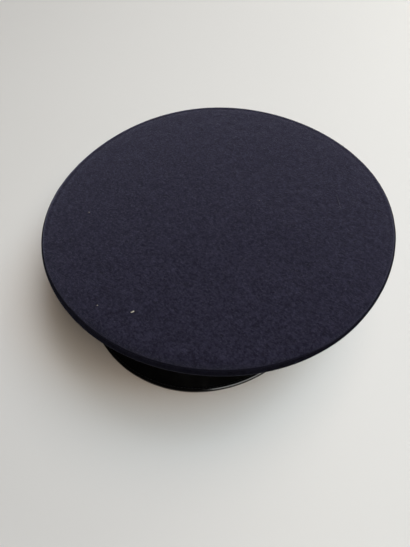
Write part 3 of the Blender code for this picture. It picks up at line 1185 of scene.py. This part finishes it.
class PeakedCapCloth(PropertyGroup):
    """Woollen cloth of the crown, the side panels and the band."""

    colour: swatch("Cloth colour", "Navy of the cloth between its raised hairs", (0.0080, 0.0071, 0.0155))
    raised_colour: swatch(
        "Raised hair colour", "Lighter colour of hairs that catch the light", (0.0250, 0.0235, 0.0435)
    )
    # Also the colour of the painted shade along the crown's edge
    pressed_nap_and_shade_colour: swatch(
        "Pressed nap colour", "Darker colour where the nap is pressed down", (0.0075, 0.0070, 0.0130)
    )
    sheen_colour: swatch("Sheen colour", "Colour of the soft sheen on the nap", (0.66, 0.68, 0.98))
    sheen: number("Sheen", "Strength of the sheen on the nap", 0.38, min=0.0, max=1.0)
    thickness: number(
        "Cloth thickness", "Thickness of the crown's cloth with its stiffener", 0.0020, **LENGTH
    )
    strand_length: number("Hair length", "Length of a loose hair", 0.0017, **LENGTH)
    strand_width: number("Hair width", "Width of a loose hair at its root", 0.00006, **LENGTH)
    strand_density: number(
        "Hairs per square metre", "How many loose hairs stand on the crown", 420000.0, min=0.0
    )


class PeakedCapPeak(PropertyGroup):
    """Varnished leather of the peak and its binding."""

    colour: swatch("Leather colour", "Black of the varnished leather", (0.0022, 0.0022, 0.0022))
    # Also the colour of the painted reflections in the smears on the leather
    dust_and_reflection_colour: swatch("Dust colour", "Colour of dust and scuffs on the leather", (0.035, 0.037, 0.033))
    roughness: number("Gloss roughness", "Roughness of the clean varnish", 0.10, min=0.0, max=1.0)
    stitch_pitch: number(
        "Stitch pitch", "Distance from one stitch of the binding to the next", 0.0030, **LENGTH
    )
    stitch_length: number("Stitch length", "Length of a stitch that shows", 0.0021, **LENGTH)


class PeakedCapStage(PropertyGroup):
    """Floor, light and camera."""

    floor_colour: swatch("Floor colour", "Colour of the pale floor", (0.80, 0.80, 0.79))
    floor_width: number("Floor width", "Width of the round floor", 4.2, **LENGTH)
    backdrop_colour: swatch("Backdrop colour", "Colour behind the floor", (0.60, 0.60, 0.585))
    light_distance: number("Light distance", "Distance of the soft lights from the cap", 2.0, **LENGTH)
    light_size: number("Light size", "Side of each soft light", 1.1, **LENGTH)
    light_power: number("Light power", "Power of a soft light of share 1", 20.0, min=0.0, unit="POWER")
    room_light: number("Room light", "Strength of the light from all round", 0.02, min=0.0)
    camera_place: FloatVectorProperty(
        name="Camera place",
        description="Where the camera stands",
        default=(0.1205, -0.1606, 0.3457),
        subtype="TRANSLATION",
    )
    camera_heading: number(
        "Camera heading", "Turn of the view from straight backwards over the cap", radians(42.0), **ANGLE
    )
    camera_pitch: number("Camera pitch", "How far the camera looks down", radians(62.4), **ANGLE)
    camera_roll: number("Camera roll", "Turn of the camera about its own view", radians(-6.28), **ANGLE)
    camera_lens: number("Camera lens", "Focal length on a 36 mm sensor", 26.97, unit="CAMERA")


class CapOperator:
    """Shared by the operators that make the pieces."""

    bl_options = {"REGISTER", "UNDO"}

    def execute(self, context):
        """Make the pieces of this operator."""
        self.make()
        return {"FINISHED"}


class PEAKEDCAP_OT_crown(CapOperator, Operator):
    """Make the crown's cloth"""

    bl_idname = "peaked_cap.crown"
    bl_label = "Crown"
    make = staticmethod(make_crown)


class PEAKEDCAP_OT_welt(CapOperator, Operator):
    """Make the welt round the crown's seam"""

    bl_idname = "peaked_cap.welt"
    bl_label = "Welt"
    make = staticmethod(make_welt)


class PEAKEDCAP_OT_side_panels(CapOperator, Operator):
    """Make the four side panels"""

    bl_idname = "peaked_cap.side_panels"
    bl_label = "Side Panels"
    make = staticmethod(make_side_panels)


class PEAKEDCAP_OT_band(CapOperator, Operator):
    """Make the cloth-covered band"""

    bl_idname = "peaked_cap.band"
    bl_label = "Band"
    make = staticmethod(make_band)


class PEAKEDCAP_OT_peak(CapOperator, Operator):
    """Make the glossy peak"""

    bl_idname = "peaked_cap.peak"
    bl_label = "Peak"
    make = staticmethod(make_peak)


class PEAKEDCAP_OT_peak_binding(CapOperator, Operator):
    """Make the binding of the peak's rim"""

    bl_idname = "peaked_cap.peak_binding"
    bl_label = "Peak Binding"
    make = staticmethod(make_peak_binding)


class PEAKEDCAP_OT_binding_stitches(CapOperator, Operator):
    """Make the stitches along the binding"""

    bl_idname = "peaked_cap.binding_stitches"
    bl_label = "Binding Stitches"
    make = staticmethod(make_binding_stitches)


class PEAKEDCAP_OT_nap(CapOperator, Operator):
    """Grow the loose hairs of the nap"""

    bl_idname = "peaked_cap.nap"
    bl_label = "Nap"
    make = staticmethod(make_nap)


class PEAKEDCAP_OT_lint(CapOperator, Operator):
    """Lay the specks and hairs of lint on the crown"""

    bl_idname = "peaked_cap.lint"
    bl_label = "Lint"
    make = staticmethod(make_lint)


class PEAKEDCAP_OT_stage(CapOperator, Operator):
    """Make the floor, the lights and the camera"""

    bl_idname = "peaked_cap.stage"
    bl_label = "Stage"
    make = staticmethod(make_stage)


SETTINGS = {
    "peaked_cap_cloth": PeakedCapCloth,
    "peaked_cap_peak": PeakedCapPeak,
    "peaked_cap_stage": PeakedCapStage,
}
OPERATORS = tuple(CapOperator.__subclasses__())


class PEAKEDCAP_PT_sidebar(Panel):
    """Settings and steps of the peaked cap"""

    bl_idname = "PEAKEDCAP_PT_sidebar"
    bl_label = "Peaked Cap"
    bl_space_type = "VIEW_3D"
    bl_region_type = "UI"
    bl_category = "Peaked Cap"

    def draw(self, context):
        """List the settings, then the steps."""
        for group in SETTINGS:
            settings = getattr(context.scene, group)
            box = self.layout.box()
            for name in settings.bl_rna.properties.keys():
                if name not in ("rna_type", "name"):
                    box.prop(settings, name)
        column = self.layout.column(align=True)
        for step in OPERATORS:
            column.operator(step.bl_idname)


CLASSES = (*SETTINGS.values(), *OPERATORS, PEAKEDCAP_PT_sidebar)


def register():
    """Add the settings, the operators and the panel."""
    for each in CLASSES:
        bpy.utils.register_class(each)
    for name, group in SETTINGS.items():
        setattr(bpy.types.Scene, name, PointerProperty(type=group))


def unregister():
    """Take the settings, the operators and the panel away again."""
    for name in SETTINGS:
        delattr(bpy.types.Scene, name)
    for each in reversed(CLASSES):
        bpy.utils.unregister_class(each)


def main():
    """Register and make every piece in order."""
    register()
    bpy.ops.peaked_cap.stage()
    bpy.ops.peaked_cap.crown()
    bpy.ops.peaked_cap.welt()
    bpy.ops.peaked_cap.side_panels()
    bpy.ops.peaked_cap.band()
    bpy.ops.peaked_cap.peak()
    bpy.ops.peaked_cap.peak_binding()
    bpy.ops.peaked_cap.binding_stitches()
    bpy.ops.peaked_cap.nap()
    bpy.ops.peaked_cap.lint()


if __name__ == "__main__":
    main()
